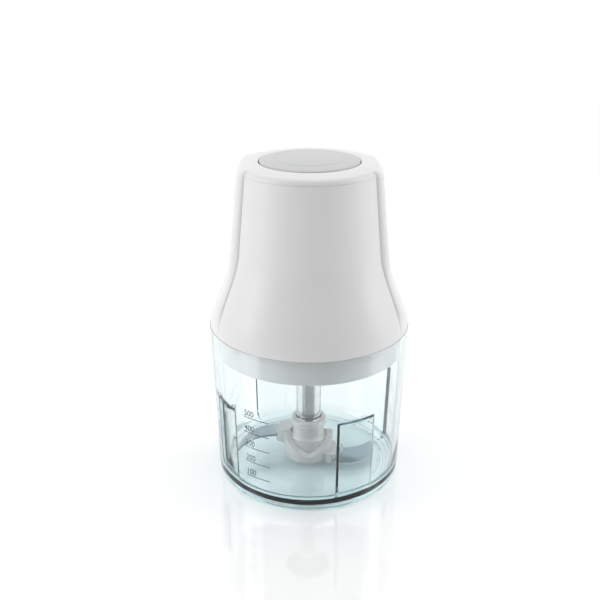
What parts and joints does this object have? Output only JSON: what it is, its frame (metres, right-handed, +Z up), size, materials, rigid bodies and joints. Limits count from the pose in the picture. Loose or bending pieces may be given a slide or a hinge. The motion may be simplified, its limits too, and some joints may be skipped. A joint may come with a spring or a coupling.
{
  "type": "food processor",
  "caption": "Press-top mini food chopper: a motor unit with a push button sits on a clear round bowl, where two sickle blades on a hub turn on a steel spindle.",
  "frame": {"origin": "centre of the bowl's foot, on the surface it stands on", "axes": "+Z up along the spindle, -Y towards the front cover, +X to the right seen from the front"},
  "size_m": [0.12, 0.12, 0.2],
  "materials": {
    "clear_plastic": "clear, polished, faintly blue",
    "white_plastic": "satin white",
    "grey_plastic": "light grey, fine matte",
    "frosted_plastic": "translucent white",
    "black_plastic": "matte black",
    "gear_nylon": "natural nylon",
    "blade_steel": "polished stainless",
    "pin_steel": "ground steel",
    "lamination": "stacked laminations",
    "copper": "enamelled copper",
    "bronze": "sintered bronze",
    "rubber": "matte",
    "carbon": "pressed carbon",
    "circuit_green": "solder mask"
  },
  "bodies": {
    "bowl_body": {"bowl": "clear_plastic", "bowl_spindle": "pin_steel"},
    "blade_bearing": {"hub_bush": "bronze"},
    "blade_unit": {"blade_hub": "frosted_plastic", "lower_blade": "blade_steel", "upper_blade": "blade_steel"},
    "rotor": {"armature_shaft": "pin_steel", "motor_pinion": "pin_steel", "armature_core": "lamination", "armature_winding_lower": "copper", "armature_winding_upper": "copper", "commutator": "copper", "cooling_fan": "black_plastic"},
    "drive": {"planet_carrier": "pin_steel", "output_coupling": "black_plastic"},
    "planet_1": {"planet_gear_1": "gear_nylon"},
    "planet_2": {"planet_gear_2": "gear_nylon"},
    "planet_3": {"planet_gear_3": "gear_nylon"},
    "button": {"push_button": "grey_plastic"},
    "lever": {"switch_lever": "pin_steel"},
    "motor_unit": {"front_cover": "white_plastic", "rear_cover": "white_plastic", "housing_band": "white_plastic", "base_plate": "grey_plastic", "switch_plate": "grey_plastic", "gearbox_housing": "grey_plastic", "gearbox_cover": "grey_plastic", "terminal_block": "grey_plastic", "switch_body": "black_plastic", "suppression_capacitor": "black_plastic", "ring_gear": "gear_nylon", "button_spring": "pin_steel", "lower_bracket": "pin_steel", "upper_bracket": "pin_steel", "base_screw_1": "pin_steel", "base_screw_2": "pin_steel", "base_screw_3": "pin_steel", "base_screw_4": "pin_steel", "stator_core": "lamination", "field_coil_left": "copper", "field_coil_right": "copper", "output_bush": "bronze", "lower_bearing": "bronze", "upper_bearing": "bronze", "brush_holder_left": "bronze", "brush_holder_right": "bronze", "shaft_seal": "rubber", "cord_gland": "rubber", "carbon_brush_left": "carbon", "carbon_brush_right": "carbon", "circuit_board": "circuit_green"}
  },
  "joints": [
    {"name": "motor_unit_lift", "type": "slide", "parent": "bowl_body", "child": "motor_unit", "axis": [0, 0, 1], "range_m": [0, 0.2]},
    {"name": "blade_lift", "type": "slide", "parent": "bowl_body", "child": "blade_bearing", "axis": [0, 0, 1], "range_m": [0, 0.1]},
    {"name": "blade_spin", "type": "hinge", "parent": "blade_bearing", "child": "blade_unit", "pos_m": [0, 0, 0.01], "axis": [0, 0, 1], "continuous": true},
    {"name": "rotor_spin", "type": "hinge", "parent": "motor_unit", "child": "rotor", "pos_m": [0, 0, 0.15], "axis": [0, 0, 1], "continuous": true},
    {"name": "carrier_spin", "type": "hinge", "parent": "motor_unit", "child": "drive", "pos_m": [0, 0, 0.1], "axis": [0, 0, 1], "continuous": true},
    {"name": "planet_1_spin", "type": "hinge", "parent": "drive", "child": "planet_1", "pos_m": [0, 0.015, 0.1085], "axis": [0, 0, 1], "continuous": true},
    {"name": "planet_2_spin", "type": "hinge", "parent": "drive", "child": "planet_2", "pos_m": [-0.01299, -0.0075, 0.1085], "axis": [0, 0, 1], "continuous": true},
    {"name": "planet_3_spin", "type": "hinge", "parent": "drive", "child": "planet_3", "pos_m": [0.01299, -0.0075, 0.1085], "axis": [0, 0, 1], "continuous": true},
    {"name": "button_press", "type": "slide", "parent": "motor_unit", "child": "button", "axis": [0, 0, -1], "range_m": [0, 0.004], "stiffness_N_per_m": 2500, "springref_m": -0.002, "deforming": ["button_spring"]},
    {"name": "switch_lever_pivot", "type": "hinge", "parent": "motor_unit", "child": "lever", "pos_m": [0.0095, 0, 0.1873], "axis": [0, 1, 0], "range_deg": [0, 14]}
  ],
  "couplings": [
    {"joint": "carrier_spin", "follows": "rotor_spin", "ratio": 0.2},
    {"joint": "blade_spin", "follows": "rotor_spin", "ratio": 0.2},
    {"joint": "planet_1_spin", "follows": "rotor_spin", "ratio": -0.53333},
    {"joint": "planet_2_spin", "follows": "rotor_spin", "ratio": -0.53333},
    {"joint": "planet_3_spin", "follows": "rotor_spin", "ratio": -0.53333},
    {"joint": "blade_lift", "follows": "motor_unit_lift", "ratio": 0.5},
    {"joint": "switch_lever_pivot", "follows": "button_press", "rad_per_m": 60}
  ]
}
